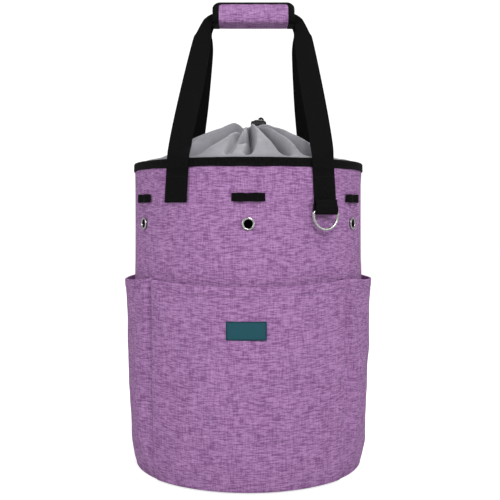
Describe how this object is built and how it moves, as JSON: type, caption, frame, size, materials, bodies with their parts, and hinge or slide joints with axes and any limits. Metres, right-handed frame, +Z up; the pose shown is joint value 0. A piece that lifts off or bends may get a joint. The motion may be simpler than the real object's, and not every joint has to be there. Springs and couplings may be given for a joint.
{
  "type": "knitting bag",
  "caption": "Tall round padded bag for yarn and knitting tools, with wrap-round outer pockets, webbing carry handles joined by a grip, and a drawstring collar.",
  "frame": {"origin": "centre of the underside of the base, on the floor", "axes": "+Z up; the front of the bag, with the label, faces -Y; +X is to the right seen from the front"},
  "size_m": [0.2832, 0.2872, 0.5281],
  "materials": {
    "heather_fabric": "heather purple polyester canvas, matt, horizontal slubs",
    "grey_lining": "thin grey polyester lining, slight sheen",
    "grey_collar": "thin grey nylon, soft sheen, gathered",
    "foam": "soft white padding, hidden between the fabric and the lining",
    "base_board": "stiff plastic board, hidden in the base",
    "black_ribbon": "ribbed black binding ribbon",
    "black_webbing": "black woven webbing, matt",
    "fastening_tape": "black hook-and-loop tape",
    "label": "teal woven label with a plain border",
    "nickel": "polished nickel plate",
    "cord": "black braided cord",
    "lock_plastic": "black moulded plastic",
    "spring_steel": "plain steel wire"
  },
  "bodies": {
    "root": {"shell_wall": "heather_fabric", "base_panel": "heather_fabric", "front_pocket": "heather_fabric", "right_pocket": "heather_fabric", "back_pocket": "heather_fabric", "left_pocket": "heather_fabric", "lining_wall": "grey_lining", "base_lining": "grey_lining", "collar": "grey_collar", "foam_wall": "foam", "base_board": "base_board", "base_seam_tape": "black_ribbon", "rim_binding": "black_ribbon", "tool_loop_front": "black_ribbon", "tool_loop_front_right": "black_ribbon", "tool_loop_back_right": "black_ribbon", "tool_loop_back": "black_ribbon", "tool_loop_back_left": "black_ribbon", "tool_loop_front_left": "black_ribbon", "strap_end_front_right": "black_webbing", "strap_end_back_right": "black_webbing", "strap_end_back_left": "black_webbing", "strap_end_front_left": "black_webbing", "d_ring_tab_front": "black_webbing", "d_ring_tab_back": "black_webbing", "label_patch": "label", "eyelet_front": "nickel", "eyelet_front_right": "nickel", "eyelet_back_right": "nickel", "eyelet_back": "nickel", "eyelet_back_left": "nickel", "eyelet_front_left": "nickel", "eyelet_washer_front": "nickel", "eyelet_washer_front_right": "nickel", "eyelet_washer_back_right": "nickel", "eyelet_washer_back": "nickel", "eyelet_washer_back_left": "nickel", "eyelet_washer_front_left": "nickel"},
    "front_handle": {"front_handle_strap": "black_webbing"},
    "back_handle": {"back_handle_strap": "black_webbing", "grip_wrap": "heather_fabric", "grip_loop_tape": "fastening_tape"},
    "grip_flap": {"grip_flap": "heather_fabric", "grip_hook_tape": "fastening_tape"},
    "front_d_ring": {"d_ring_front": "nickel"},
    "back_d_ring": {"d_ring_back": "nickel"},
    "collar_neck": {"collar_hem": "grey_collar", "drawcord": "cord"},
    "cord_lock": {"lock_body": "lock_plastic", "lock_spring": "spring_steel"},
    "cord_lock_button": {"lock_button": "lock_plastic"}
  },
  "joints": [
    {"name": "front_handle_swing", "type": "hinge", "parent": "root", "child": "front_handle", "pos_m": [0, -0.1036, 0.35], "axis": [1, 0, 0], "range_deg": [0, 140]},
    {"name": "back_handle_swing", "type": "hinge", "parent": "root", "child": "back_handle", "pos_m": [0, 0.1036, 0.35], "axis": [1, 0, 0], "range_deg": [-140, 0]},
    {"name": "grip_flap_open", "type": "hinge", "parent": "back_handle", "child": "grip_flap", "pos_m": [0, -0.0166, 0.5045], "axis": [1, 0, 0], "range_deg": [0, 126]},
    {"name": "front_d_ring_swing", "type": "hinge", "parent": "root", "child": "front_d_ring", "pos_m": [0.0799, -0.11202, 0.2845], "axis": [-0.8988, -0.4384, 0], "range_deg": [0, 150]},
    {"name": "back_d_ring_swing", "type": "hinge", "parent": "root", "child": "back_d_ring", "pos_m": [-0.0799, 0.11202, 0.2845], "axis": [0.8988, 0.4384, 0], "range_deg": [0, 150]},
    {"name": "collar_neck_slide", "type": "slide", "parent": "root", "child": "collar_neck", "axis": [0, 0, 1], "range_m": [-0.07, 0.02], "deforming": ["collar"]},
    {"name": "cord_lock_slide", "type": "slide", "parent": "collar_neck", "child": "cord_lock", "axis": [0.1208, 0.8556, 0.5033], "range_m": [0, 0.008]},
    {"name": "cord_lock_press", "type": "slide", "parent": "cord_lock", "child": "cord_lock_button", "axis": [0.9927, -0.1041, -0.0612], "range_m": [0, 0.0025], "stiffness_N_per_m": 800, "deforming": ["lock_spring"]}
  ],
  "couplings": [
    {"joint": "back_handle_swing", "follows": "front_handle_swing", "ratio": -1},
    {"joint": "grip_flap_open", "follows": "front_handle_swing", "ratio": 0.9}
  ]
}
